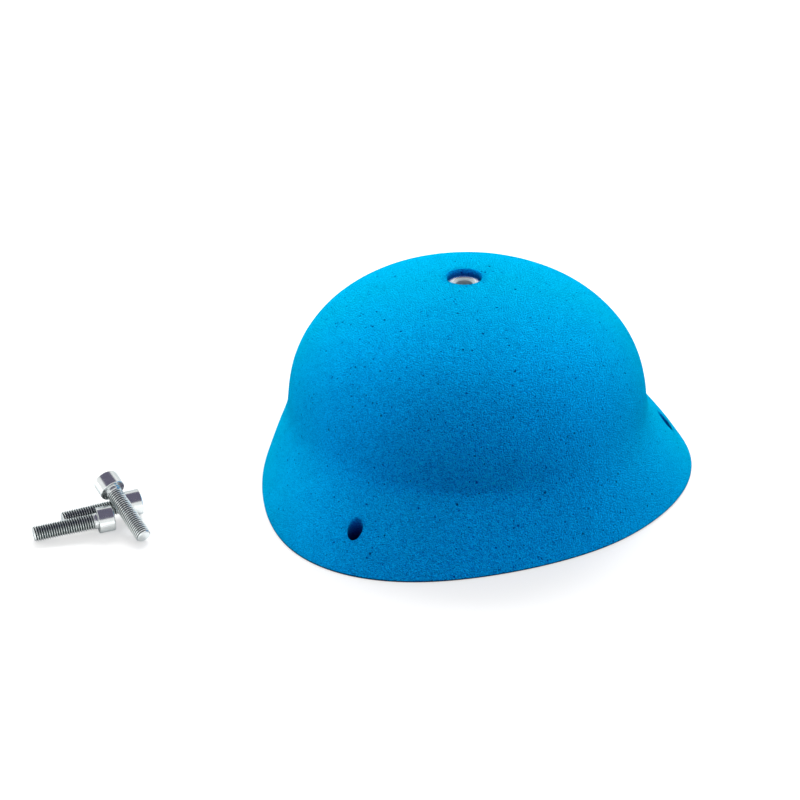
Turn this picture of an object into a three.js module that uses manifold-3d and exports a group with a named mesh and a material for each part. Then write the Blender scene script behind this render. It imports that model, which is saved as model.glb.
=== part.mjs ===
// A hollow-backed moulded climbing hold with its steel bolt washer, and the three
// socket head cap screws that lie beside it.
//
// Lengths are millimetres. +Z points out of the wall along the bolt's axis, the back rim
// lies on z = 0, and bearings are degrees measured from -Y, the front, towards +X.

import * as THREE from 'three';
import { mergeVertices } from 'three/addons/utils/BufferGeometryUtils.js';
import Module from 'manifold-3d';

const wasm = await Module();
wasm.setup();

// Outer form of the moulding: a dome of revolution on a flared skirt with three lobes. Its
// own axis stands a little beside the bolt's.
const domeX = 2.35;
const domeY = -3.2;
const domeRadius = 112.5;
const domeHeight = 90;
const neckHeight = 45;
const skirtReach = 14;
const baseEdge = 1.5;
const crispCrease = 0.5;
const domeSideFullness = 2.06;
const domeCrownFullness = 2.48;
const flareEaseShare = 0.4;
const flareDropShare = 4;

const frontLobeReach = 25.5;
const rightLobeReach = 19;
const backLobeReach = 22;
const lobes = [
  { bearing: -34, spread: 35, swell: frontLobeReach, screwBearing: -31 },
  { bearing: 105, spread: 43, swell: rightLobeReach, screwBearing: 97 },
  { bearing: -160, spread: 35, swell: backLobeReach, screwBearing: -160 },
];

// Where the crease between dome and skirt is softer than at the front.
const frontLobeBlend = 8;
const frontRightBlend = 6;
const rightLobeBlend = 3;
const leftSideBlend = 1.6;
const backLobeBlend = 7;
const softCreases = [
  { bearing: -42, spread: 19, swell: frontLobeBlend },
  { bearing: 45, spread: 21, swell: frontRightBlend },
  { bearing: 105, spread: 43, swell: rightLobeBlend },
  { bearing: -90, spread: 30, swell: leftSideBlend },
  { bearing: -160, spread: 35, swell: backLobeBlend },
];

// Walls of the hollow back.
const domeWall = 10;
const crownWall = 13;
const rimWidth = 15;

// Central boss, its bolt hole and the washer's recess at the crown.
const boltHoleRadius = 5.5;
const bossRadius = 17;
const bossDraft = 3;
const recessRadius = 10.6;
const recessRimRound = 3.2;
const washerDepth = 4.7;

// Bolt washer, thick and countersunk on top.
const washerRadius = 10.2;
const washerBoreRadius = 5.25;
const washerThickness = 5.6;
const washerSinkRadius = 7.2;
const washerSinkDepth = 1.2;
const seatGap = 0.3;

// Webs between the boss and the lobes.
const webThickness = 7;
const webDraft = 3;
const webLift = 6;

// Set screw sockets, one in each lobe.
const setScrewInset = 18;
const setScrewRadius = 4.8;
const setScrewPilotRadius = 2.75;
const setScrewSeatHeight = 8;
const setScrewBossRadius = 11;
const setScrewBossDraft = 1;

// Socket head cap screws.
const shankRadius = 5;
const screwLength = 40;
const tipChamfer = 1;
const headRadius = 8;
const headHeight = 10;
const headChamfer = 0.8;
const hexAcrossFlats = 8;
const hexDepth = 5;
const hexMouthChamfer = 0.4;

// How the loose screws lie: two on the floor side by side, one leaning on the rear one.
const frontScrewX = -263.2;
const frontScrewY = -93.4;
const frontScrewYaw = 16.4;
const rearScrewYaw = 19.3;
const leaningScrewYaw = 123.6;
const rimContactTurn = 45;
const steepestLean = 45;
const leanSteps = 40;
const restGap = 0.3;
const liftGap = 0.4;

// Facet counts, and how far a cut runs past what it cuts.
const outerSectors = 72;
const innerSectors = 48;
const roundSectors = 24;
const hexSides = 6;
const overrun = 4;

const up = new THREE.Vector3(0, 0, 1);

const finish = {
  hold: { color: 0x0a84cf, roughness: 0.85, metalness: 0 },
  steel: { color: 0xc9ced2, roughness: 0.3, metalness: 1 },
};

function radians(degrees) {
  return THREE.MathUtils.degToRad(degrees);
}

// Horizontal direction at a bearing.
function outward(bearing) {
  return new THREE.Vector3(Math.sin(radians(bearing)), -Math.cos(radians(bearing)), 0);
}

// What smooth swells round the form add at a bearing, each most at its own middle.
function swellAt(swells, bearing) {
  return swells.reduce((sum, each) => {
    const turn = THREE.MathUtils.euclideanModulo(bearing - each.bearing + 180, 360) - 180;
    return sum + each.swell * Math.exp(-((turn / each.spread) ** 2));
  }, 0);
}

// Radius of the base outline at a bearing.
function baseOutline(bearing) {
  return domeRadius + skirtReach + swellAt(lobes, bearing);
}

// Width of the crease between dome and skirt.
function creaseWidth(bearing) {
  return crispCrease + swellAt(softCreases, bearing);
}

// The larger of two values, with a rounded change from one to the other.
function softMax(a, b, width) {
  return (a + b + Math.hypot(a - b, width)) / 2;
}

// Radius of a superelliptic dome at a height over its neck.
function domeProfile(height, radius, crown) {
  const share = THREE.MathUtils.clamp(height / crown, 0, 1);
  return radius * (1 - share ** domeCrownFullness) ** (1 / domeSideFullness);
}

// Radius of the skirt's flare at a height. Above the neck it drops away inside the dome.
function flareProfile(height, radius, base) {
  const rise = (base - radius) / (1 - flareEaseShare / 3);
  const down = 1 - height / neckHeight;
  if (down < 0) return radius + rise * down * (1 - flareDropShare * down);
  return radius + rise * (down - (flareEaseShare * down ** 3) / 3);
}

// Heights of the rings of a form, from the base to just under the crown.
function ringHeights(form) {
  const skirtShares = [0.2, 0.42, 0.62, 0.78, 0.9];
  const neckShares = [0, 0.03, 0.08];
  const crownTurns = [9, 15, 22, 29, 36, 43, 50, 57, 64, 71, 77, 82, 86];
  const edge = form.edge > 0 ? [form.edge] : [];
  return [
    ...edge,
    ...skirtShares.map((share) => share * neckHeight),
    ...neckShares.map((share) => neckHeight + share * form.crown),
    ...crownTurns.map((turn) => neckHeight + form.crown * Math.sin(radians(turn))),
  ];
}

// Radius of a form at a bearing and height.
function formRadius(form, bearing, height) {
  const base = baseOutline(bearing) - form.inset;
  const dome = domeProfile(height - neckHeight, form.radius, form.crown);
  return softMax(dome, flareProfile(height, form.radius, base), creaseWidth(bearing));
}

// Closed surface of a dome with a lobed skirt: the outside of the moulding, its hollow,
// and the surface halfway through its wall all come from it.
function mouldedForm(form) {
  const rings = [{ height: -form.under, level: 0, trim: form.edge }];
  for (const height of ringHeights(form)) rings.push({ height, level: height, trim: 0 });
  const points = [];
  const faces = [];
  for (const ring of rings) {
    for (let i = 0; i < form.sectors; i += 1) {
      const bearing = (360 * i) / form.sectors;
      const radius = formRadius(form, bearing, ring.level) - ring.trim;
      points.push(...outward(bearing).multiplyScalar(radius).setZ(ring.height).toArray());
    }
  }
  const foot = points.length / 3;
  const top = foot + 1;
  points.push(0, 0, -form.under, 0, 0, neckHeight + form.crown);
  const last = (rings.length - 1) * form.sectors;
  for (let i = 0; i < form.sectors; i += 1) {
    const next = (i + 1) % form.sectors;
    faces.push(foot, next, i, top, last + i, last + next);
    for (let row = 0; row < last; row += form.sectors) {
      const above = row + form.sectors;
      faces.push(row + i, row + next, above + next, row + i, above + next, above + i);
    }
  }
  const geometry = new THREE.BufferGeometry();
  geometry.setAttribute('position', new THREE.Float32BufferAttribute(points, 3));
  geometry.setIndex(faces);
  return solidFrom(geometry).translate([domeX, domeY, 0]);
}

// A closed geometry as a solid that can be joined and cut.
function solidFrom(source) {
  const bare = source.clone();
  bare.deleteAttribute('normal');
  bare.deleteAttribute('uv');
  const merged = mergeVertices(bare);
  const faces = [];
  for (let i = 0; i < merged.index.count; i += 3) {
    const [a, b, c] = [0, 1, 2].map((corner) => merged.index.getX(i + corner));
    if (a !== b && b !== c && c !== a) faces.push(a, b, c);
  }
  const vertProperties = new Float32Array(merged.attributes.position.array);
  const triVerts = new Uint32Array(faces);
  return new wasm.Manifold(new wasm.Mesh({ numProp: 3, vertProperties, triVerts }));
}

// A solid's surface as a geometry.
function geometryFrom(solid) {
  const mesh = solid.getMesh();
  const geometry = new THREE.BufferGeometry();
  geometry.setAttribute('position', new THREE.BufferAttribute(new Float32Array(mesh.vertProperties), 3));
  geometry.setIndex(new THREE.BufferAttribute(new Uint32Array(mesh.triVerts), 1));
  const flat = geometry.toNonIndexed();
  flat.computeVertexNormals();
  return flat;
}

// A profile of [radius, height] points turned round the Z axis.
function revolved(profile, sectors = roundSectors) {
  const points = profile.map(([radius, height]) => new THREE.Vector2(radius, height));
  return solidFrom(new THREE.LatheGeometry(points, sectors).rotateX(Math.PI / 2));
}

// A round bar or cone along Z between two heights.
function roundBar(lowRadius, highRadius, low, high) {
  return revolved([[0, low], [lowRadius, low], [highRadius, high], [0, high]]);
}

// Middle of a lobe's set screw socket.
function setScrewPlace(lobe) {
  const reach = baseOutline(lobe.screwBearing) - setScrewInset;
  return new THREE.Vector3(domeX, domeY, 0).addScaledVector(outward(lobe.screwBearing), reach);
}

// Upright web from the boss to a lobe's set screw socket, thicker towards the crown.
function web(lobe) {
  const foot = webThickness / 2;
  const head = (webThickness + webDraft) / 2;
  const crown = neckHeight + domeHeight;
  const section = new THREE.Shape([
    new THREE.Vector2(-foot, webLift),
    new THREE.Vector2(foot, webLift),
    new THREE.Vector2(head, crown),
    new THREE.Vector2(-head, crown),
  ]);
  const place = setScrewPlace(lobe);
  const geometry = new THREE.ExtrudeGeometry(section, {
    depth: place.length(),
    bevelEnabled: false,
  });
  const along = place.normalize();
  const across = new THREE.Vector3().crossVectors(up, along);
  return solidFrom(geometry.applyMatrix4(new THREE.Matrix4().makeBasis(across, up, along)));
}

// Boss, webs and socket bosses inside the hollow, ending halfway through the wall.
function innerFrame() {
  const crown = neckHeight + domeHeight;
  let frame = roundBar(bossRadius, bossRadius + bossDraft, 0, crown);
  for (const lobe of lobes) {
    const place = setScrewPlace(lobe).toArray();
    const boss = roundBar(setScrewBossRadius, setScrewBossRadius + setScrewBossDraft, 0, neckHeight);
    frame = frame.add(web(lobe)).add(boss.translate(place));
  }
  const middle = mouldedForm({
    radius: domeRadius - domeWall / 2,
    crown: domeHeight - crownWall / 2,
    inset: rimWidth / 2,
    edge: 0,
    under: 0,
    sectors: innerSectors,
  });
  return frame.intersect(middle);
}

// Height of the dome's surface at a radius from its own axis.
function domeSurface(radius) {
  const share = (1 - (radius / domeRadius) ** domeSideFullness) ** (1 / domeCrownFullness);
  return neckHeight + domeHeight * share;
}

// Bolt hole with the washer's recess, whose mouth is rolled over into the dome.
function boltHole() {
  const crown = neckHeight + domeHeight;
  const seat = crown - washerDepth - washerThickness - seatGap;
  const mouth = domeSurface(recessRadius + recessRimRound) - recessRimRound;
  const rollTurns = [0, 30, 60, 90];
  const roll = rollTurns.map((turn) => [
    recessRadius + recessRimRound * (1 - Math.cos(radians(turn))),
    mouth + recessRimRound * Math.sin(radians(turn)),
  ]);
  return revolved([
    [0, -overrun],
    [boltHoleRadius, -overrun],
    [boltHoleRadius, seat],
    [recessRadius, seat],
    ...roll,
    [recessRadius + recessRimRound, crown + overrun],
    [0, crown + overrun],
  ]);
}

// Stepped hole for a set screw: a pilot through the rim and a counterbore over it.
function setScrewHole(lobe) {
  const profile = [
    [0, -overrun],
    [setScrewPilotRadius, -overrun],
    [setScrewPilotRadius, setScrewSeatHeight],
    [setScrewRadius, setScrewSeatHeight],
    [setScrewRadius, neckHeight + overrun],
    [0, neckHeight + overrun],
  ];
  return revolved(profile).translate(setScrewPlace(lobe).toArray());
}

// The moulding: outer form, hollow back, inner frame and holes.
function holdShell() {
  const outer = mouldedForm({
    radius: domeRadius,
    crown: domeHeight,
    inset: 0,
    edge: baseEdge,
    under: 0,
    sectors: outerSectors,
  });
  const hollow = mouldedForm({
    radius: domeRadius - domeWall,
    crown: domeHeight - crownWall,
    inset: rimWidth,
    edge: 0,
    under: overrun,
    sectors: innerSectors,
  });
  const shell = outer.subtract(hollow).add(innerFrame()).subtract(boltHole());
  return lobes.reduce((solid, lobe) => solid.subtract(setScrewHole(lobe)), shell);
}

// Countersunk ring that spreads the bolt's load.
function boltWasher() {
  return revolved([
    [washerBoreRadius, 0],
    [washerRadius, 0],
    [washerRadius, washerThickness],
    [washerSinkRadius, washerThickness],
    [washerBoreRadius, washerThickness - washerSinkDepth],
    [washerBoreRadius, 0],
  ]);
}

// Distance from the middle of the hexagon to its corners.
function hexCornerRadius() {
  return hexAcrossFlats / (2 * Math.cos(Math.PI / hexSides));
}

// Hexagonal socket that opens at a height.
function hexSocket(top) {
  const corner = hexCornerRadius();
  const profile = [
    [0, top - hexDepth],
    [corner, top - hexDepth],
    [corner, top + overrun],
    [0, top + overrun],
  ];
  return revolved(profile, hexSides);
}

// Countersunk mouth of the socket, as wide outside its corners as it is deep inside them.
function socketMouth(top) {
  const corner = hexCornerRadius();
  return revolved([
    [0, top - 2 * hexMouthChamfer],
    [corner - hexMouthChamfer, top - 2 * hexMouthChamfer],
    [corner + hexMouthChamfer, top],
    [corner + hexMouthChamfer, top + overrun],
    [0, top + overrun],
  ]);
}

// Cap screw with its tip at the origin, pointing down, and its head at the top.
function capScrew() {
  const top = screwLength + headHeight;
  const body = revolved([
    [0, 0],
    [shankRadius - tipChamfer, 0],
    [shankRadius, tipChamfer],
    [shankRadius, screwLength],
    [headRadius, screwLength],
    [headRadius, top - headChamfer],
    [headRadius - headChamfer, top],
    [0, top],
  ]);
  return body.subtract(hexSocket(top)).subtract(socketMouth(top));
}

// Unit vector along a screw, from tip to head, for a yaw from +X and a rise.
function screwAxis(yaw, rise) {
  const flat = Math.cos(rise);
  return new THREE.Vector3(flat * Math.cos(radians(yaw)), flat * Math.sin(radians(yaw)), Math.sin(rise));
}

// Height of a screw's tip over the floor, when it stands on the edge of its chamfer.
function tipHeight(rise) {
  return shankRadius * Math.cos(rise) - tipChamfer * Math.sin(rise);
}

// A screw that lies on its tip and the edge of its head.
function lyingScrew(x, y, yaw) {
  const rise = Math.asin((headRadius - shankRadius) / (screwLength - tipChamfer));
  return { tip: new THREE.Vector3(x, y, tipHeight(rise)), axis: screwAxis(yaw, rise) };
}

// Height of a screw's axis over the axis of the screw that it lies across.
function crossingLift(under, yaw, rise) {
  const cross = new THREE.Vector3().crossVectors(under.axis, screwAxis(yaw, rise));
  return ((2 * shankRadius + restGap) * cross.length()) / Math.abs(cross.z);
}

// Distance along a leaning screw, from its tip, to the place over the axis of the screw
// under it, when its head hooks over that screw's shank.
function hookReach(lift, rise) {
  const drop = Math.max(2 * shankRadius + restGap - headRadius, 0);
  const besideHead = Math.sqrt(Math.max(shankRadius ** 2 - drop ** 2, 0)) + restGap;
  return screwLength - besideHead + lift * Math.sin(rise);
}

// Rise of a screw whose tip stands on the floor and whose head hooks over another screw.
function leaningRise(under, underHeight, yaw) {
  let low = 0;
  let high = radians(steepestLean);
  for (let i = 0; i < leanSteps; i += 1) {
    const rise = (low + high) / 2;
    const lift = crossingLift(under, yaw, rise);
    const height = tipHeight(rise) + hookReach(lift, rise) * Math.sin(rise);
    if (height < underHeight + lift) low = rise;
    else high = rise;
  }
  return low;
}

// Places of the three loose screws. The rear one passes beside the front one's head, and
// the third crosses the rear shank close to its head, past the front one's end.
function screwPlaces() {
  const front = lyingScrew(frontScrewX, frontScrewY, frontScrewYaw);
  const lying = new THREE.Vector3(front.axis.x, front.axis.y, 0).length();
  const turn = radians(leaningScrewYaw - rearScrewYaw);
  const rimReach = headRadius * Math.sin(radians(rimContactTurn)) * Math.abs(Math.cos(turn));
  const crossing = screwLength * lying - (shankRadius + restGap) / Math.sin(turn) - rimReach;
  const spread = Math.tan(radians(rearScrewYaw - frontScrewYaw));
  const frontTurn = radians(leaningScrewYaw - frontScrewYaw);
  const beside = headRadius + shankRadius + restGap;
  const faceRadius = headRadius - headChamfer;
  const pastFace = (shankRadius + liftGap) / Math.sin(frontTurn) - faceRadius / Math.tan(frontTurn);
  const opening = (headHeight * lying + pastFace) * spread;
  const across = (beside + opening) / (1 - spread / Math.tan(frontTurn));
  const along = (screwLength + headHeight) * lying + pastFace + across / Math.tan(frontTurn);
  const rearTip = new THREE.Vector3(frontScrewX, frontScrewY, 0)
    .addScaledVector(screwAxis(frontScrewYaw, 0), along)
    .addScaledVector(screwAxis(frontScrewYaw + 90, 0), across)
    .addScaledVector(screwAxis(rearScrewYaw, 0), -crossing);
  const rear = lyingScrew(rearTip.x, rearTip.y, rearScrewYaw);
  const contact = rear.tip.clone().addScaledVector(rear.axis, crossing / lying);
  const rise = leaningRise(rear, contact.z, leaningScrewYaw);
  const reach = hookReach(crossingLift(rear, leaningScrewYaw, rise), rise);
  const axis = screwAxis(leaningScrewYaw, rise);
  const tip = contact.clone().addScaledVector(axis, -reach).setZ(tipHeight(rise));
  return [front, rear, { tip, axis }];
}

// A named mesh of a solid.
function piece(name, solid, look) {
  const mesh = new THREE.Mesh(geometryFrom(solid), new THREE.MeshStandardMaterial(look));
  mesh.name = name;
  return mesh;
}

const part = new THREE.Group();

part.add(piece('hold_shell', holdShell(), finish.hold));

const washer = piece('bolt_washer', boltWasher(), finish.steel);
washer.position.z = neckHeight + domeHeight - washerDepth - washerThickness;
part.add(washer);

screwPlaces().forEach((place, index) => {
  const screw = piece(`cap_screw_${index + 1}`, capScrew(), finish.steel);
  screw.position.copy(place.tip);
  screw.quaternion.setFromUnitVectors(up, place.axis);
  part.add(screw);
});

export default part;
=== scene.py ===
# Climbing volume moulded in blue polyurethane, its bolt washer and three loose cap screws.
# Lengths are metres. Bearings are degrees from -Y, the front, towards +X.
import math

import bmesh
import bpy
from mathutils import Matrix, Vector


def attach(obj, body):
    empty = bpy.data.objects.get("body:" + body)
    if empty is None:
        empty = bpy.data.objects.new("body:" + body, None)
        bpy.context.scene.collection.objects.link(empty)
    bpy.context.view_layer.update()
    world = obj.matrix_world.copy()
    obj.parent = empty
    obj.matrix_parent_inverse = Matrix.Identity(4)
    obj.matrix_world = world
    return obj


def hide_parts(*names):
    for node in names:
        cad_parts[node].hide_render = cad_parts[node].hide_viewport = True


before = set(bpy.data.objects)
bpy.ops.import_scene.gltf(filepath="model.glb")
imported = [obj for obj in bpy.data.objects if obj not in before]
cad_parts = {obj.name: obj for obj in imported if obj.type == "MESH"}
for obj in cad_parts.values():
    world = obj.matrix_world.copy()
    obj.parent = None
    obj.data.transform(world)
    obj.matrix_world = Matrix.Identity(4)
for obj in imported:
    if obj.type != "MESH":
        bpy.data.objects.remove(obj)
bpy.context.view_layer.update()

scene = bpy.context.scene
quarterTurn = math.pi / 2
tiny = 0.00001  # a length that counts as none
noiseMiddle = 0.5
white = (1.0, 1.0, 1.0, 1.0)


# Nodes: a sheet writes into one node tree, and a wire is one output on it.

class Wire:
    def __init__(self, sheet, socket):
        self.sheet = sheet
        self.socket = socket

    def also(self, name):  # another output of the same node
        return Wire(self.sheet, self.socket.node.outputs[name])

    def apply(self, operation, *others):
        return self.sheet.maths(operation, self, *others)

    def __add__(self, other):
        return self.sheet.maths("ADD", self, other)

    def __radd__(self, other):
        return self.sheet.maths("ADD", other, self)

    def __sub__(self, other):
        return self.sheet.maths("SUBTRACT", self, other)

    def __rsub__(self, other):
        return self.sheet.maths("SUBTRACT", other, self)

    def __mul__(self, other):
        return self.sheet.maths("MULTIPLY", self, other)

    def __truediv__(self, other):
        return self.sheet.maths("DIVIDE", self, other)

    def __rtruediv__(self, other):
        return self.sheet.maths("DIVIDE", other, self)

    def __pow__(self, other):
        return self.sheet.maths("POWER", self, other)

    def __mod__(self, other):
        return self.sheet.maths("FLOORED_MODULO", self, other)

    def __neg__(self):
        return self.sheet.maths("MULTIPLY", self, -1)

    def __gt__(self, other):
        return self.sheet.maths("GREATER_THAN", self, other)

    def __lt__(self, other):
        return self.sheet.maths("LESS_THAN", self, other)


class NodeSheet:
    def __init__(self, tree):
        self.tree = tree
        self.asked = None
        tree.nodes.clear()

    def node(self, kind, settings=None, values=None, out=0):
        made = self.tree.nodes.new(kind)
        for name, value in (settings or {}).items():
            setattr(made, name, value)
        for name, value in (values or {}).items():
            if isinstance(value, Wire):
                self.tree.links.new(value.socket, made.inputs[name])
            else:
                made.inputs[name].default_value = value
        return Wire(self, made.outputs[out] if len(made.outputs) else None)

    def maths(self, operation, *values):
        onVectors = any(isinstance(v, Wire) and v.socket.type == "VECTOR" for v in values)
        kind = "ShaderNodeVectorMath" if onVectors else "ShaderNodeMath"
        if onVectors:
            values = [v if isinstance(v, Wire) else (v, v, v) for v in values]
        return self.node(kind, {"operation": operation}, dict(enumerate(values)))

    def parts(self, vector):  # its first part, with the others under their names
        return self.node("ShaderNodeSeparateXYZ", values={0: vector})

    def noise(self, place, size, detail):
        values = {"Vector": place, "Scale": size, "Detail": detail}
        return self.node("ShaderNodeTexNoise", values=values)

    def scaled(self, vector, factor):
        values = {0: vector, "Scale": factor}
        return self.node("ShaderNodeVectorMath", {"operation": "SCALE"}, values)

    def attribute(self, name, out):
        return self.node("ShaderNodeAttribute", {"attribute_name": name}, out=out)

    def blend(self, share, first, second):  # from the first colour to the second
        values = {0: share, 6: first, 7: second}
        return self.node("ShaderNodeMix", {"data_type": "RGBA"}, values, out=2)

    def ask(self, name):  # an input of a geometry tree
        if self.asked is None:
            self.asked = self.tree.nodes.new("NodeGroupInput")
        return Wire(self, self.asked.outputs[name])


def clampOf(value):  # to a share from 0 to 1
    if isinstance(value, Wire):
        return value.sheet.node("ShaderNodeClamp", values={0: value})
    return min(max(value, 0.0), 1.0)


def expOf(value):
    return value.apply("EXPONENT") if isinstance(value, Wire) else math.exp(value)


def rootOf(value):
    return value.apply("SQRT") if isinstance(value, Wire) else math.sqrt(value)


# Pieces

def addPiece(name, mesh):
    piece = bpy.data.objects.new(name, mesh)
    scene.collection.objects.link(piece)
    return piece


def pieceOf(name, shape):  # takes over what bmesh built
    mesh = bpy.data.meshes.new(name)
    shape.to_mesh(mesh)
    shape.free()
    return addPiece(name, mesh)


def bakeShape(piece):  # keeps what the modifiers make as a plain mesh
    bpy.context.view_layer.update()
    shown = piece.evaluated_get(bpy.context.evaluated_depsgraph_get())
    made = bpy.data.meshes.new_from_object(shown)
    old = piece.data
    piece.modifiers.clear()
    piece.data = made
    bpy.data.meshes.remove(old)
    return piece


def geometrySheet(name, inputs):
    tree = bpy.data.node_groups.new(name, "GeometryNodeTree")
    tree.interface.new_socket("Geometry", in_out="INPUT", socket_type="NodeSocketGeometry")
    for label, value in inputs.items():
        kind = "NodeSocketInt" if isinstance(value, int) else "NodeSocketFloat"
        socket = tree.interface.new_socket(label, in_out="INPUT", socket_type=kind)
        socket.default_value = value
    tree.interface.new_socket("Geometry", in_out="OUTPUT", socket_type="NodeSocketGeometry")
    return NodeSheet(tree)


def closeTree(sheet, geometry):
    sheet.node("NodeGroupOutput", values={"Geometry": geometry})
    return sheet.tree


def runTree(piece, tree, values):
    modifier = piece.modifiers.new(tree.name, "NODES")
    modifier.node_group = tree
    for item in tree.interface.items_tree:
        if item.in_out == "INPUT" and item.name in values:
            modifier[item.identifier] = values[item.name]
    return bakeShape(piece)


def lathe(name, profile, columns, closed=False):  # turned about Z, from axis to axis or as a ring
    shape = bmesh.new()
    turns = [math.tau * i / columns for i in range(columns)]
    rings = []
    for radius, height in profile:
        if radius == 0:
            rings.append([shape.verts.new((0, 0, height))] * columns)
            continue
        places = [(radius * math.cos(t), radius * math.sin(t), height) for t in turns]
        rings.append([shape.verts.new(place) for place in places])
    for low, high in zip(rings, rings[1:] + rings[:1] if closed else rings[1:]):
        for i in range(columns):
            j = (i + 1) % columns
            corners = list(dict.fromkeys([low[i], low[j], high[j], high[i]]))
            shape.faces.new(corners)
    return pieceOf(name, shape)


def carve(piece, operation, *tools):
    for tool in tools:
        modifier = piece.modifiers.new(tool.name, "BOOLEAN")
        modifier.operation = operation
        modifier.solver = "MANIFOLD"
        modifier.object = tool
    bakeShape(piece)
    for tool in tools:
        bpy.data.objects.remove(tool)
    return piece


def finishPiece(piece, material, body, slot, *nodes, sharp=35):
    mesh = piece.data
    mesh.materials.clear()
    mesh.materials.append(material)
    mesh.shade_smooth()
    mesh.set_sharp_from_angle(angle=math.radians(sharp))
    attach(piece, body)
    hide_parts(*nodes)
    print(piece.name, len(mesh.polygons), "faces")


# Moulding: a dome of revolution on a flared skirt with three lobes, hollow behind.

moulding = {
    "axisX": 0.00235,  # the dome's own axis stands a little beside the bolt's
    "axisY": -0.0032,
    "domeRadius": 0.1125,
    "domeHeight": 0.09,
    "neckHeight": 0.045,
    "skirtReach": 0.014,
    "crispCrease": 0.0005,
    "sideFullness": 2.06,
    "crownFullness": 2.48,
    "flareEase": 0.4,
    "flareDrop": 4.0,
    "edgeRound": 0.0015,
    "domeWall": 0.01,
    "crownWall": 0.013,
    "rimWidth": 0.015,
    "skinInset": 0.0002,  # keeps the finer skin inside the faceted one
    "footInset": 0.0004,
}

fineMesh = {"columns": 480, "edgeRows": 5, "skirtRows": 36, "domeRows": 84}
hiddenMesh = {"columns": 240, "edgeRows": 1, "skirtRows": 20, "domeRows": 48}

lobes = [
    {"bearing": -34.0, "spread": 35.0, "swell": 0.0255},
    {"bearing": 105.0, "spread": 43.0, "swell": 0.019},
    {"bearing": -160.0, "spread": 35.0, "swell": 0.022},
]

softCreases = [  # where the crease between dome and skirt is softer than at the front
    {"bearing": -42.0, "spread": 19.0, "swell": 0.008},
    {"bearing": 45.0, "spread": 21.0, "swell": 0.006},
    {"bearing": 105.0, "spread": 43.0, "swell": 0.003},
    {"bearing": -90.0, "spread": 30.0, "swell": 0.0016},
    {"bearing": -160.0, "spread": 35.0, "swell": 0.007},
]


def swellAt(swells, bearing):  # what smooth swells round the form add at a bearing
    total = 0
    for each in swells:
        turn = ((bearing - each["bearing"] + 180) % 360 - 180) / each["spread"]
        total = total + each["swell"] * expOf(-(turn * turn))
    return total


def formRadius(form, lobeSet, creaseSet, bearing, height):
    above = height - form["neckHeight"]
    share = clampOf(above / form["crown"])
    dome = form["radius"] * (1 - share ** form["crownFullness"]) ** (1 / form["sideFullness"])
    base = form["outline"] + swellAt(lobeSet, bearing) - form["inset"]
    rise = (base - form["radius"]) / (1 - form["flareEase"] / 3)
    down = -above / form["neckHeight"]
    below = clampOf(down)
    past = down - below
    eased = below - form["flareEase"] * below * below * below / 3
    flare = form["radius"] + rise * (eased + past * (1 - form["flareDrop"] * past))
    blend = form["crispCrease"] + swellAt(creaseSet, bearing)
    apart = dome - flare
    return (dome + flare + rootOf(apart * apart + blend * blend)) / 2


def formValues(radius, crown, inset):
    shared = ("neckHeight", "crispCrease", "sideFullness", "crownFullness", "flareEase", "flareDrop")
    values = {name: moulding[name] for name in shared}
    outline = moulding["domeRadius"] + moulding["skirtReach"]
    return {**values, "radius": radius, "crown": crown, "inset": inset, "outline": outline}


def makeFormTree():
    sizes = formValues(moulding["domeRadius"], moulding["domeHeight"], 0.0)
    swells = {"lobe": lobes, "crease": softCreases}
    swellInputs = {f"{name} {i} {key}": value for name, those in swells.items()
                   for i, each in enumerate(those) for key, value in each.items()}
    extra = {"edgeRound": 0.0, "under": 0.0}
    sheet = geometrySheet("mouldedForm", {**sizes, **extra, **fineMesh, **swellInputs})
    form = {name: sheet.ask(name) for name in sizes}
    sets = [[{key: sheet.ask(f"{name} {i} {key}") for key in each} for i, each in enumerate(those)]
            for name, those in swells.items()]

    edgeRows = sheet.ask("edgeRows")
    skirtRows = sheet.ask("skirtRows")
    domeRows = sheet.ask("domeRows")
    rows = edgeRows + skirtRows + domeRows + 2
    gridSize = {"Size X": 1.0, "Size Y": 1.0, "Vertices X": sheet.ask("columns") + 1,
                "Vertices Y": rows + 1}
    grid = sheet.node("GeometryNodeMeshGrid", values=gridSize)
    across = sheet.parts(sheet.node("GeometryNodeInputPosition"))
    half = gridSize["Size X"] / 2
    bearing = (across + half) * 360
    row = (across.also("Y") + half) * rows

    # rows go from the middle of the back out to the edge, up the skirt and over the dome
    foot = clampOf(row)
    rise = clampOf(row - 1)
    edge = clampOf((row - 2) / edgeRows) * quarterTurn
    skirt = clampOf((row - 2 - edgeRows) / skirtRows)
    dome = clampOf((row - 2 - edgeRows - skirtRows) / domeRows)
    edgeRound = sheet.ask("edgeRound")
    level = edgeRound * (1 - edge.apply("COSINE")) + (form["neckHeight"] - edgeRound) * skirt
    level = level + form["crown"] * (dome * quarterTurn).apply("SINE")
    reach = formRadius(form, *sets, bearing, level) - edgeRound * (1 - edge.apply("SINE"))
    nearTop = 0.9999  # the last row of the dome closes on its axis
    radius = reach * foot * (dome < nearTop)
    turn = bearing.apply("RADIANS")
    x = radius * turn.apply("SINE") + moulding["axisX"]
    y = moulding["axisY"] - radius * turn.apply("COSINE")
    height = level - sheet.ask("under") * (1 - rise)
    place = sheet.node("ShaderNodeCombineXYZ", values={0: x, 1: y, 2: height})
    moved = sheet.node("GeometryNodeSetPosition", values={"Geometry": grid, "Position": place})
    merge = {"Geometry": moved, "Distance": 0.000001}
    return closeTree(sheet, sheet.node("GeometryNodeMergeByDistance", values=merge))


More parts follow.
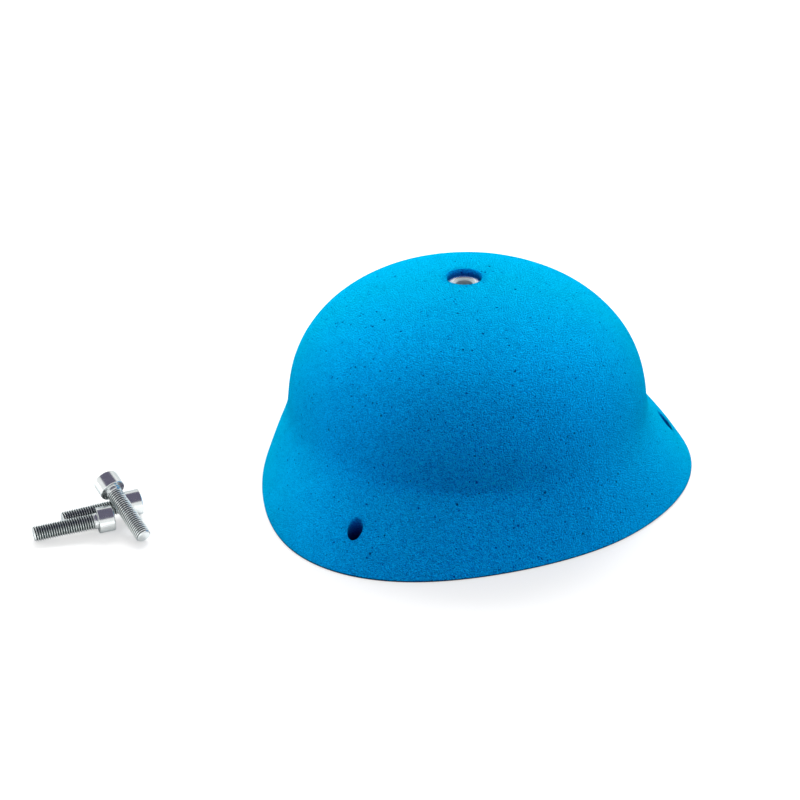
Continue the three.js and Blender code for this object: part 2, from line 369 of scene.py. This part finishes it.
skin = {
    "waveDepth": 0.0004,  # slow unevenness left by the shaper's hand
    "waveSize": 0.045,
    "waveDetail": 1.0,
    "rippleDepth": 0.00014,
    "rippleSize": 0.008,
    "rippleDetail": 2.0,
    "trueHeight": 0.003,  # the edge on the wall stays true up to here
    "trueFade": 0.006,
    "bubbleHeight": 0.007,  # the lowest bubbles
    "bubbleGap": 0.004,  # least distance between air bubbles that opened at the skin
    "bubbleDensity": 4200.0,
    "bubbleSmall": 0.0003,
    "bubbleLarge": 0.001,
    "bubbleSink": 0.6,
    "bubbleFineness": 2,
    "bubbleShadeDepth": 0.0035,  # the depth that the material's painted shade takes the bubble pits for
    "bubbleSeed": 11,
}


def makeSkinTree():
    sheet = geometrySheet("mouldedSkin", skin)
    ask = sheet.ask
    place = sheet.node("GeometryNodeInputPosition")
    height = sheet.parts(place).also("Z")
    normal = sheet.node("GeometryNodeInputNormal")
    fade = clampOf((height - ask("trueHeight")) / ask("trueFade"))
    wave = sheet.noise(place / ask("waveSize"), 1.0, ask("waveDetail"))
    ripple = sheet.noise(place / ask("rippleSize"), 1.0, ask("rippleDetail"))
    sunk = (wave * ask("waveDepth") + ripple * ask("rippleDepth")) * fade
    moves = {"Geometry": ask("Geometry"), "Offset": normal * (-sunk)}
    body = sheet.node("GeometryNodeSetPosition", values=moves)

    spread = {"Mesh": body, "Selection": height > ask("bubbleHeight"), "Distance Min": ask("bubbleGap"),
              "Density Max": ask("bubbleDensity"), "Seed": ask("bubbleSeed")}
    spots = sheet.node("GeometryNodeDistributePointsOnFaces", {"distribute_method": "POISSON"}, spread)
    draw = {2: 0.0, 3: 1.0, "Seed": ask("bubbleSeed")}
    chance = sheet.node("FunctionNodeRandomValue", {"data_type": "FLOAT"}, draw, out=1)
    radius = ask("bubbleSmall") + (ask("bubbleLarge") - ask("bubbleSmall")) * chance * chance
    down = spots.also("Normal") * (-(radius * ask("bubbleSink")))
    sunkSpots = sheet.node("GeometryNodeSetPosition", values={"Geometry": spots, "Offset": down})
    ballValues = {"Radius": 1.0, "Subdivisions": ask("bubbleFineness")}
    ball = sheet.node("GeometryNodeMeshIcoSphere", values=ballValues)
    sown = {"Points": sunkSpots, "Instance": ball, "Scale": radius}
    balls = sheet.node("GeometryNodeInstanceOnPoints", values=sown)
    real = sheet.node("GeometryNodeRealizeInstances", values={"Geometry": balls})
    # the bubble pits get a depth, which the material turns into painted shade
    marks = {"Geometry": real, "Name": "depth", "Value": ask("bubbleShadeDepth")}
    real = sheet.node("GeometryNodeStoreNamedAttribute", {"data_type": "FLOAT"}, marks)
    cut = {"operation": "DIFFERENCE", "solver": "MANIFOLD"}
    pitted = sheet.node("GeometryNodeMeshBoolean", cut, {"Mesh 1": body, "Mesh 2": real})
    return closeTree(sheet, pitted)


def mouldedForm(name, tree, wall, crownWall, inset, **more):
    values = formValues(moulding["domeRadius"] - wall, moulding["domeHeight"] - crownWall, inset)
    return runTree(addPiece(name, bpy.data.meshes.new(name)), tree, {**values, **more})


back = {
    "boltHole": 0.0055,
    "bossRadius": 0.017,
    "bossDraft": 0.003,
    "webThickness": 0.007,
    "webDraft": 0.003,
    "webLift": 0.006,
    "screwBearings": (-31, 97, -160),
    "screwInset": 0.018,
    "screwRadius": 0.0048,
    "screwPilot": 0.00275,
    "screwSeat": 0.008,
    "screwBoss": 0.011,
    "screwBossDraft": 0.001,
    "screwMouthRound": 0.0008,
    "recessRadius": 0.0106,
    "recessRound": 0.0032,
    "washerDepth": 0.0047,
    "washerThickness": 0.0056,
    "seatGap": 0.0003,
    "overrun": 0.004,  # how far a cutter stands out of what it cuts
    "columns": 96,
    "screwBossColumns": 64,
}


def crownHeight():
    return moulding["neckHeight"] + moulding["domeHeight"]


def outward(bearing):
    return Vector((math.sin(math.radians(bearing)), -math.cos(math.radians(bearing)), 0))


def setScrewPlace(bearing):
    outline = moulding["domeRadius"] + moulding["skirtReach"] + swellAt(lobes, bearing)
    middle = Vector((moulding["axisX"], moulding["axisY"], 0))
    return middle + outward(bearing) * (outline - back["screwInset"])


def skinHeight(place):  # height of the outer skin over a place, found by halving
    form = formValues(moulding["domeRadius"], moulding["domeHeight"], 0.0)
    across = Vector((place.x - moulding["axisX"], place.y - moulding["axisY"]))
    bearing = math.degrees(math.atan2(across.x, -across.y))
    low = 0.0
    high = crownHeight()
    halvings = 30
    for step in range(halvings):
        middle = (low + high) / 2
        if formRadius(form, lobes, softCreases, bearing, middle) > across.length:
            low = middle
        else:
            high = middle
    return low


def slopesAt(place, span):  # slopes of the skin along X and Y
    along = [Vector((span, 0, 0)), Vector((0, span, 0))]
    return [(skinHeight(place + step) - skinHeight(place - step)) / (2 * span) for step in along]


def mouthRoll(radius, round, steps=8):  # rolled rim of a hole, up to the skin at height 0
    turns = [quarterTurn * i / steps for i in range(steps + 1)]
    return [(radius + round * (1 - math.cos(t)), round * (math.sin(t) - 1)) for t in turns]


def holeShape(place, lower, radius, round):  # a stepped hole whose mouth follows the skin
    slope = Vector((*slopesAt(place, radius), 0))
    return {"place": place, "lower": lower, "radius": radius, "round": round, "slope": slope,
            "seat": lower[-1][1], "height": skinHeight(place)}


def boltHoleShape():
    seat = crownHeight() - back["washerDepth"] - back["washerThickness"] - back["seatGap"]
    lower = [(back["boltHole"], -back["overrun"]), (back["boltHole"], seat), (back["recessRadius"], seat)]
    return holeShape(Vector((0, 0, 0)), lower, back["recessRadius"], back["recessRound"])


def setScrewShape(bearing):
    pilot = back["screwPilot"]
    seat = back["screwSeat"]
    lower = [(pilot, -back["overrun"]), (pilot, seat), (back["screwRadius"], seat)]
    return holeShape(setScrewPlace(bearing), lower, back["screwRadius"], back["screwMouthRound"])


def holeTool(name, hole):
    roll = [(r, hole["height"] + h) for r, h in mouthRoll(hole["radius"], hole["round"])]
    roof = hole["height"] + 2 * back["overrun"]
    wide = hole["radius"] + hole["round"]
    profile = [(0, -back["overrun"]), *hole["lower"], *roll, (wide, roof), (0, roof)]
    tool = lathe(name, profile, back["columns"])
    for vertex in tool.data.vertices:
        if vertex.co.z > hole["seat"] + tiny:
            vertex.co.z += hole["slope"].dot(vertex.co)
        vertex.co += hole["place"]
    return tool


def markDepths(piece, holes):  # how deep each point lies in a hole, for the painted shade in the material
    mesh = piece.data
    kept = mesh.attributes.get("depth")
    depths = [0.0] * len(mesh.vertices)
    if kept and kept.domain == "POINT":
        kept.data.foreach_get("value", depths)
    for hole in holes:
        wide = hole["radius"] + hole["round"] + tiny
        for i, vertex in enumerate(mesh.vertices):
            place = vertex.co - hole["place"]
            if abs(place.x) < wide and abs(place.y) < wide and place.z > hole["seat"] - tiny:
                place.z = 0
                if place.length < wide:
                    depths[i] = max(hole["height"] + hole["slope"].dot(place) - vertex.co.z, 0.0)
    if kept:
        mesh.attributes.remove(kept)
    mesh.attributes.new("depth", "FLOAT", "POINT").data.foreach_set("value", depths)


def webTool(index, bearing):
    foot = back["webThickness"] / 2
    head = foot + back["webDraft"] / 2
    place = setScrewPlace(bearing)
    along = place.normalized()
    across = Vector((-along.y, along.x, 0))
    low = back["webLift"]
    high = crownHeight()
    shape = bmesh.new()
    ends = []
    for start in (Vector((0, 0, 0)), place):
        section = [(-foot, low), (foot, low), (head, high), (-head, high)]
        ends.append([shape.verts.new(start + across * side + Vector((0, 0, z))) for side, z in section])
    for i in range(4):
        j = (i + 1) % 4
        shape.faces.new([ends[0][i], ends[0][j], ends[1][j], ends[1][i]])
    shape.faces.new(list(reversed(ends[0])))
    shape.faces.new(ends[1])
    bmesh.ops.recalc_face_normals(shape, faces=shape.faces)
    return pieceOf(f"web{index}", shape)


def screwBossTool(index, bearing):
    top = back["screwBoss"] + back["screwBossDraft"]
    profile = [(0, 0), (back["screwBoss"], 0), (top, moulding["neckHeight"]), (0, moulding["neckHeight"])]
    boss = lathe(f"screwBoss{index}", profile, back["screwBossColumns"])
    boss.data.transform(Matrix.Translation(setScrewPlace(bearing)))
    return boss


def makeInnerFrame(formTree):  # boss, webs and screw bosses, ending halfway through the wall
    top = back["bossRadius"] + back["bossDraft"]
    profile = [(0, 0), (back["bossRadius"], 0), (top, crownHeight()), (0, crownHeight())]
    boss = lathe("boss", profile, back["columns"])
    numbered = list(enumerate(back["screwBearings"]))
    webs = [webTool(i, bearing) for i, bearing in numbered]
    bosses = [screwBossTool(i, bearing) for i, bearing in numbered]
    carve(boss, "UNION", *webs, *bosses)
    middle = mouldedForm("middle", formTree, moulding["domeWall"] / 2, moulding["crownWall"] / 2,
                         moulding["rimWidth"] / 2, **hiddenMesh)
    return carve(boss, "INTERSECT", middle)


def makeMoulding(material):
    formTree = makeFormTree()
    inset = moulding["skinInset"]
    edge = moulding["edgeRound"]
    hold = mouldedForm("moulding", formTree, inset, inset, moulding["footInset"], edgeRound=edge)
    runTree(hold, makeSkinTree(), {})
    hollow = mouldedForm("hollow", formTree, moulding["domeWall"], moulding["crownWall"],
                         moulding["rimWidth"], under=back["overrun"], **hiddenMesh)
    carve(hold, "DIFFERENCE", hollow)
    carve(hold, "UNION", makeInnerFrame(formTree))
    holes = [boltHoleShape(), *[setScrewShape(bearing) for bearing in back["screwBearings"]]]
    carve(hold, "DIFFERENCE", *[holeTool(f"hole{i}", hole) for i, hole in enumerate(holes)])
    markDepths(hold, holes)
    finishPiece(hold, material, "hold", "moulding", "hold_shell")


# Washer in the crown

washer = {
    "radius": 0.0101,
    "bore": 0.00525,
    "sink": 0.0072,
    "sinkDepth": 0.0014,
    "dish": 0.00035,  # how far the face falls from its edge to the sink
    "edgeRound": 0.0003,
    "columns": 96,
}


def roundedCorner(radius, height, round, start, steps=4):  # quarter of a circle round a point
    turns = [start + quarterTurn * i / steps for i in range(steps + 1)]
    return [(radius + round * math.cos(t), height + round * math.sin(t)) for t in turns]


def makeWasher(material):
    low = crownHeight() - back["washerDepth"] - back["washerThickness"]
    high = low + back["washerThickness"]
    edge = washer["edgeRound"]
    outer = washer["radius"] - edge
    profile = [
        (washer["bore"], low),
        *roundedCorner(outer, low + edge, edge, -quarterTurn),
        *roundedCorner(outer, high - edge, edge, 0.0),
        (washer["sink"], high - washer["dish"]),
        (washer["bore"], high - washer["sinkDepth"]),
    ]
    ring = lathe("washer", profile, washer["columns"], closed=True)
    finishPiece(ring, material, "hold", "washer_steel", "bolt_washer")


# Cap screws

capScrew = {
    "shankRadius": 0.00496,
    "length": 0.04,
    "headRadius": 0.00797,
    "headHeight": 0.01,
    "headRound": 0.0008,
    "seatChamfer": 0.00025,
    "neckRound": 0.0004,
    "tipChamfer": 0.001,
    "hexAcross": 0.008,
    "hexDepth": 0.005,
    "hexPoint": 0.001,
    "mouthChamfer": 0.0004,
    "cutterReach": 0.002,  # how far a cutter stands out of the head
    "columns": 72,
    "mouthColumns": 48,
    "headSteps": 6,
    "neckSteps": 4,
    "pitchRows": 12,  # rows of faces in each pitch of the thread
    "sharpAngle": 28,
}

thread = {
    "pitch": 0.0015,
    "depth": 0.0009,
    "crest": 0.14,
    "root": 0.2,
    "runout": 0.0022,
    "runoutEnd": 0.35,  # share of the runout that stays plain
    "core": 0.003,  # nearer the axis nothing is cut
}


def hexCorner():
    return capScrew["hexAcross"] / 2 / math.cos(math.pi / 6)


def screwTop():
    return capScrew["length"] + capScrew["headHeight"]


def screwBody(name):
    length = capScrew["length"]
    top = screwTop()
    shank = capScrew["shankRadius"]
    head = capScrew["headRadius"]
    neck = capScrew["neckRound"]
    step = thread["pitch"] / capScrew["pitchRows"]
    rows = [i * step for i in range(1, int((length - neck) / step))]
    rise = [(min(shank, shank - capScrew["tipChamfer"] + z), z) for z in rows]
    fillet = [(shank + out, length + up) for out, up in mouthRoll(0, neck, capScrew["neckSteps"])]
    seat = capScrew["seatChamfer"]
    crown = capScrew["headRound"]
    profile = [
        (0, 0),
        (shank - capScrew["tipChamfer"], 0),
        *rise,
        *fillet,
        (head - seat, length),
        (head, length + seat),
        *roundedCorner(head - crown, top - crown, crown, 0.0, capScrew["headSteps"]),
        (0, top),
    ]
    return lathe(name, profile, capScrew["columns"])


def hexTool():
    corner = hexCorner()
    floor = screwTop() - capScrew["hexDepth"]
    roof = screwTop() + capScrew["cutterReach"]
    profile = [(0, floor - capScrew["hexPoint"]), (corner, floor), (corner, roof), (0, roof)]
    return lathe("hexTool", profile, 6)


def mouthTool():
    top = screwTop()
    roof = top + capScrew["cutterReach"]
    chamfer = capScrew["mouthChamfer"]
    wide = hexCorner() + chamfer
    deep = top - 2 * chamfer
    profile = [(0, deep), (hexCorner() - chamfer, deep), (wide, top), (wide, roof), (0, roof)]
    return lathe("mouthTool", profile, capScrew["mouthColumns"])


def makeThreadTree():
    length = capScrew["length"] - capScrew["neckRound"]
    sizes = {**thread, "shankRadius": capScrew["shankRadius"], "length": length}
    sheet = geometrySheet("cutThread", sizes)
    ask = sheet.ask
    across = sheet.parts(sheet.node("GeometryNodeInputPosition"))
    x, y, z = across, across.also("Y"), across.also("Z")
    radius = rootOf(x * x + y * y)
    turn = y.apply("ARCTAN2", x) / math.tau
    phase = (z / ask("pitch") - turn) % 1
    valley = (phase * 2 - 1).apply("ABSOLUTE")
    flank = clampOf((valley - ask("crest")) / (1 - ask("crest") - ask("root")))
    fade = clampOf((ask("length") - z) / ask("runout") - ask("runoutEnd"))
    cut = ask("shankRadius") - flank * fade * ask("depth")
    onShank = (z > 2 * tiny) * (z < ask("length")) * (radius > ask("core"))
    onShank = onShank * (radius < ask("shankRadius") + tiny)
    share = radius.apply("MINIMUM", cut) / radius.apply("MAXIMUM", tiny)
    share = 1 + onShank * (share - 1)
    threaded = sheet.node("ShaderNodeCombineXYZ", values={0: x * share, 1: y * share, 2: z})
    moves = {"Geometry": ask("Geometry"), "Position": threaded}
    moved = sheet.node("GeometryNodeSetPosition", values=moves)
    stored = {"Geometry": moved, "Name": "bench", "Value": threaded}  # the upright screw's place
    kept = sheet.node("GeometryNodeStoreNamedAttribute", {"data_type": "FLOAT_VECTOR"}, stored)
    stored = {"Geometry": kept, "Name": "root", "Value": flank * fade * onShank}  # 1 in the roots
    kept = sheet.node("GeometryNodeStoreNamedAttribute", {"data_type": "FLOAT"}, stored)
    return closeTree(sheet, kept)


def screwPlace(node):  # where a screw lies, from its solid: the middle of its tip, and its axis
    corners = {tuple(round(c, 6) for c in v.co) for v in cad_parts[node].data.vertices}
    points = [Vector(c) for c in corners]
    nowhere = Vector((0, 0, 0))
    middle = sum(points, nowhere) / len(points)
    axis = Vector((1, 1, 1))
    refinings = 40
    for step in range(refinings):
        axis = sum(((p - middle) * (p - middle).dot(axis) for p in points), nowhere).normalized()
    reach = [(p - middle).dot(axis) for p in points]
    ends = [middle + axis * min(reach), middle + axis * max(reach)]
    tip, top = sorted(ends, key=lambda end: end.z)
    turn = Vector((0, 0, 1)).rotation_difference(top - tip)
    print(node, "tip", [round(c, 6) for c in tip], "length", round((top - tip).length, 6))
    return Matrix.LocRotScale(tip, turn, None)


def makeScrews(material):
    bodies = {"cap_screw_1": "front_screw", "cap_screw_2": "rear_screw", "cap_screw_3": "leaning_screw"}
    threadTree = makeThreadTree()
    for number, (node, body) in enumerate(bodies.items()):
        screw = screwBody(f"capScrew{number + 1}")
        carve(screw, "DIFFERENCE", hexTool(), mouthTool())
        runTree(screw, threadTree, {})
        screw.data.transform(screwPlace(node))
        finishPiece(screw, material, body, "screw_steel", node, sharp=capScrew["sharpAngle"])


# Materials

def materialSheet(name):
    material = bpy.data.materials.new(name)
    material.use_nodes = True
    return material, NodeSheet(material.node_tree)


def closeMaterial(sheet, values):
    shader = sheet.node("ShaderNodeBsdfPrincipled", values=values)
    sheet.node("ShaderNodeOutputMaterial", values={"Surface": shader})


urethane = {
    "green": 0.34,
    "frontShadedBlue": 1.0,  # painted shade and light: the blue is deeper where the surface faces the front, paler on the crown and the sides where light falls on it
    "sideLitBlue": 0.61,
    "grainScale": 1400.0,  # sand grains in each metre
    "sandScale": 1120.0,
    "rippleDetail": 0.5,
    "mottleScale": 50.0,
    "mottleDetail": 1.0,
    "sideGrainShade": 0.4,  # strength of the grain away from the front; painted shade: the grain's tint is stronger on the front, standing in for the shading that grazing light from above gives it there
    "cellTint": 0.55,
    "sandTint": 0.9,
    "grainMiddle": -0.2,
    "blueShare": 0.55,  # how much of the grain's tint the blue takes up
    "mottleTint": 0.1,
    "speckShare": 0.0048,  # share of grains that are pinholes, painted dark as the shade inside them
    "pinholeShadeTone": 0.45,
    "grainLift": 0.0026,
    "contactShadowHeight": 0.0014,  # painted contact shadow: a dark line along the bottom edge, where the moulding meets the floor
    "contactShadowFade": 0.0005,
    "contactShadowStrength": 0.85,
    "holeShadeDepth": 0.0045,  # painted shade: depth at which the colour in a hole or bubble pit has lost most of its light
    "roughness": 0.6,
    "rippleRoughness": 0.2,
    "specular": 0.0,
}


def castUrethane():
    material, sheet = materialSheet("castUrethane")
    place = sheet.node("ShaderNodeTexCoord", out="Object")
    scale = urethane["grainScale"]
    cellValues = {"Vector": place, "Scale": scale}
    cells = sheet.node("ShaderNodeTexVoronoi", values=cellValues, out="Color")
    sandValues = {"Vector": place, "Scale": urethane["sandScale"]}
    sand = sheet.node("ShaderNodeTexVoronoi", values=sandValues, out="Distance")
    tone = sheet.parts(cells)
    chance = sheet.parts(sand.also("Color"))
    ripple = sheet.noise(place, scale, urethane["rippleDetail"]) - noiseMiddle
    mottle = sheet.noise(place, urethane["mottleScale"], urethane["mottleDetail"]) - noiseMiddle
    facing = sheet.parts(sheet.node("ShaderNodeNewGeometry", out="Normal"))
    front = clampOf(-facing.also("Y"))
    depth = sheet.attribute("depth", "Fac")
    # painted shade: the colour darkens with depth in the holes and the bubble pits
    holeShade = expOf(-depth / urethane["holeShadeDepth"])
    grain = tone * urethane["cellTint"] - sand * urethane["sandTint"] - urethane["grainMiddle"]
    # painted shade: the grain's tint is stronger on faces turned to the front
    grain = grain * (urethane["sideGrainShade"] + front * (1 - urethane["sideGrainShade"]))
    # painted shade: a few grains are darkened as pinholes
    pinholeShade = 1 - (chance < urethane["speckShare"]) * (1 - urethane["pinholeShadeTone"])
    low = sheet.parts(place).also("Z")
    # painted contact shadow: the colour darkens along the bottom edge
    foot = 1 - clampOf((urethane["contactShadowHeight"] - low) / urethane["contactShadowFade"]) * urethane["contactShadowStrength"]
    # random mottle, times the painted shade of holes, pits, pinholes and the bottom edge
    shared = (1 + mottle * urethane["mottleTint"]) * holeShade * pinholeShade * foot
    # painted shade and light: deeper blue on faces turned to the front, paler blue on the crown and the
    # sides
    sideLitTone = (0.0, 0.0, urethane["sideLitBlue"], 1.0)
    frontShadedTone = (0.0, 0.0, urethane["frontShadedBlue"], 1.0)
    deep = sheet.blend(front, sideLitTone, frontShadedTone)
    blue = sheet.scaled(deep, shared * (1 + grain * urethane["blueShare"]))
    # the green darkens faster than the blue in the painted shade of holes and pinholes
    greenShare = shared * rootOf(holeShade) * pinholeShade * (1 + grain)
    green = sheet.scaled((0.0, urethane["green"], 0.0), greenShare)
    relief = ripple * holeShade * urethane["grainLift"]
    bump = sheet.node("ShaderNodeBump", values={"Strength": 1.0, "Distance": 1.0, "Height": relief})
    closeMaterial(sheet, {
        "Base Color": green + blue,
        "Roughness": urethane["roughness"] + ripple * urethane["rippleRoughness"],
        "Normal": bump,
        "Specular IOR Level": urethane["specular"],
    })
    return material


zincFinish = {
    "plateDull": (0.72, 0.77, 0.76, 1.0),
    "plateBright": (0.84, 0.86, 0.86, 1.0),
    "rootShade": (0.08, 0.11, 0.11, 1.0),  # painted shade in the roots of the threads
    "rootShadeGain": 1.6,
    "rootShadeStart": 0.4,
    "edgeTint": (0.4, 0.44, 0.46, 1.0),
    "cloudScale": 350.0,
    "cloudDetail": 3.0,
    "roughness": 0.16,
    "cloudRoughness": 0.1,
    "rootRoughness": 0.3,
}


def zincPlate():
    material, sheet = materialSheet("zincPlate")
    place = sheet.attribute("bench", "Vector")
    root = sheet.attribute("root", "Fac")
    cloud = sheet.noise(place, zincFinish["cloudScale"], zincFinish["cloudDetail"])
    plate = sheet.blend(cloud, zincFinish["plateDull"], zincFinish["plateBright"])
    # painted shade: the thread roots darken towards near black
    dark = clampOf(root * zincFinish["rootShadeGain"] - zincFinish["rootShadeStart"])
    rough = zincFinish["roughness"] + cloud * zincFinish["cloudRoughness"]
    closeMaterial(sheet, {
        "Base Color": sheet.blend(dark, plate, zincFinish["rootShade"]),
        "Metallic": 1.0,
        "Roughness": rough + root * zincFinish["rootRoughness"],
        "Specular Tint": zincFinish["edgeTint"],
    })
    return material


washerFinish = {
    "faceDull": (0.82, 0.86, 0.88, 1.0),
    "faceBright": (0.94, 0.95, 0.96, 1.0),
    "sinkDull": (0.36, 0.43, 0.44, 1.0),
    "sinkBright": (0.48, 0.54, 0.55, 1.0),
    "sinkDust": 0.6,  # how far dust hides the metal of the sink and the bore
    "sinkMargin": 0.0001,
    "cloudScale": 700.0,
    "cloudDetail": 3.0,
    "roughness": 0.2,
    "cloudRoughness": 0.1,
    "sinkRoughness": 0.2,
}


def washerSteel():
    material, sheet = materialSheet("washerSteel")
    place = sheet.node("ShaderNodeTexCoord", out="Object")
    across = sheet.parts(place)
    x, y = across, across.also("Y")
    within = washer["sink"] - washerFinish["sinkMargin"]
    turned = rootOf(x * x + y * y) < within  # the sink and the bore
    cloud = sheet.noise(place, washerFinish["cloudScale"], washerFinish["cloudDetail"])
    face = sheet.blend(cloud, washerFinish["faceDull"], washerFinish["faceBright"])
    inside = sheet.blend(cloud, washerFinish["sinkDull"], washerFinish["sinkBright"])
    rough = washerFinish["roughness"] + cloud * washerFinish["cloudRoughness"]
    closeMaterial(sheet, {
        "Base Color": sheet.blend(turned, face, inside),
        "Metallic": 1 - turned * washerFinish["sinkDust"],
        "Roughness": rough + turned * washerFinish["sinkRoughness"],
    })
    return material


# Studio

studio = {
    "floorSize": 14.0,
    "floorDiffuse": 0.85,
    "floorGlow": 0.5,
    "floorMirrored": 0.2,
    "floorBounce": 0.0,
    "ceiling": (0.14, 0.127, 0.188, 1.0),
    "ceilingTilt": 9.0,  # degrees from straight up towards the camera's side
    "ceilingReach": 53.0,
    "ceilingFade": 0.1,
    "world": 0.783,
    "lamps": {
        "behind": {"place": (0.0, 1.6, 1.8), "size": (2.0, 1.0), "power": 67.2},
        "behindLow": {"place": (0.0, 2.2, 0.9), "size": (2.4, 0.8), "power": 35.1},
        "right": {"place": (1.9, 0.2, 0.9), "size": (1.4, 1.2), "power": 10.4},
        "leftLow": {"place": (-2.0, 0.7, 0.3), "size": (1.4, 0.5), "power": 41.9},
        "rightLow": {"place": (2.0, 0.7, 0.3), "size": (1.4, 0.5), "power": 23.1},
        "front": {"place": (0.0, -2.2, 1.6), "size": (1.6, 1.0), "power": 5.27},
    },
    "aim": (0.0, 0.0, 0.05),
}


def makeFloor():
    half = studio["floorSize"] / 2
    shape = bmesh.new()
    corners = ((-half, -half, 0), (half, -half, 0), (half, half, 0), (-half, half, 0))
    shape.faces.new([shape.verts.new(corner) for corner in corners])
    floor = pieceOf("floor", shape)
    material, sheet = materialSheet("paleFloor")
    grey = studio["floorDiffuse"]
    matt = sheet.node("ShaderNodeBsdfDiffuse", values={"Color": (grey, grey, grey, 1.0)})
    glow = sheet.node("ShaderNodeEmission", values={"Color": white, "Strength": 1.0})
    path = sheet.node("ShaderNodeLightPath", out="Is Camera Ray")
    share = studio["floorMirrored"] + path * (studio["floorGlow"] - studio["floorMirrored"])
    page = sheet.node("ShaderNodeMixShader", values={0: share, 1: matt, 2: glow})
    grey = studio["floorBounce"]
    bounce = sheet.node("ShaderNodeBsdfDiffuse", values={"Color": (grey, grey, grey, 1.0)})
    seen = path.apply("MAXIMUM", path.also("Is Glossy Ray"))
    mixed = sheet.node("ShaderNodeMixShader", values={0: seen, 1: bounce, 2: page})
    sheet.node("ShaderNodeOutputMaterial", values={"Surface": mixed})
    floor.data.materials.append(material)


def makeWorld():
    world = bpy.data.worlds.new("studioAir")
    world.use_nodes = True
    scene.world = world
    sheet = NodeSheet(world.node_tree)
    path = sheet.node("ShaderNodeLightPath", out="Is Camera Ray")
    air = sheet.node("ShaderNodeBackground", values={"Color": white, "Strength": studio["world"]})
    page = sheet.node("ShaderNodeBackground", values={"Color": white, "Strength": 1.0})
    toward = sheet.node("ShaderNodeTexCoord", out="Generated")
    tilt = math.radians(studio["ceilingTilt"])
    middle = (0.0, -math.sin(tilt), math.cos(tilt))
    dot = {"operation": "DOT_PRODUCT"}
    close = sheet.node("ShaderNodeVectorMath", dot, {0: toward, 1: middle}, out="Value")
    edge = math.cos(math.radians(studio["ceilingReach"]))
    dark = clampOf((close - edge) / studio["ceilingFade"] + 0.5)
    tone = sheet.blend(dark, white, studio["ceiling"])  # what metal shows of the room over the table
    room = sheet.node("ShaderNodeBackground", values={"Color": tone, "Strength": 1.0})
    mirrored = sheet.node("ShaderNodeMixShader", values={0: path.also("Is Glossy Ray"), 1: air, 2: room})
    mixed = sheet.node("ShaderNodeMixShader", values={0: path, 1: mirrored, 2: page})
    sheet.node("ShaderNodeOutputWorld", values={"Surface": mixed})


def makeLamps():
    for name, values in studio["lamps"].items():
        lamp = bpy.data.lights.new(name, "AREA")
        lamp.shape = "RECTANGLE"
        lamp.size, lamp.size_y = values["size"]
        lamp.energy = values["power"]
        holder = bpy.data.objects.new(name, lamp)
        holder.location = values["place"]
        holder.visible_glossy = False  # metal shows the white room and not the lamps
        away = Vector(studio["aim"]) - Vector(values["place"])
        holder.rotation_euler = away.to_track_quat("-Z", "Y").to_euler()
        scene.collection.objects.link(holder)


view = {
    "elevation": 28.0,  # degrees over the floor
    "focal": 162.0,  # mm
    "sensor": 36.0,  # mm
    "distance": 2.2808,  # to the plane of the origin
    "originPixel": (462.56, 466.84),  # where the photograph shows the origin
    "imagePixels": 800,
    "farthest": 50.0,
}


def makeCamera():
    lens = bpy.data.cameras.new("camera")
    lens.lens = view["focal"]
    lens.sensor_width = view["sensor"]
    lens.clip_end = view["farthest"]
    tilt = math.radians(view["elevation"])
    forward = Vector((0, math.cos(tilt), -math.sin(tilt)))
    upward = Vector((0, math.sin(tilt), math.cos(tilt)))
    pixel = view["distance"] * lens.sensor_width / lens.lens / view["imagePixels"]
    middle = view["imagePixels"] / 2
    right = (view["originPixel"][0] - middle) * pixel
    down = (view["originPixel"][1] - middle) * pixel
    holder = bpy.data.objects.new("camera", lens)
    holder.location = -forward * view["distance"] - Vector((right, 0, 0)) + upward * down
    holder.rotation_euler = (quarterTurn - tilt, 0, 0)
    scene.collection.objects.link(holder)
    scene.camera = holder


scene.view_settings.view_transform = "Standard"
makeCamera()
makeFloor()
makeWorld()
makeLamps()
print("studio made")
makeMoulding(castUrethane())
makeWasher(washerSteel())
makeScrews(zincPlate())
print("pieces made")
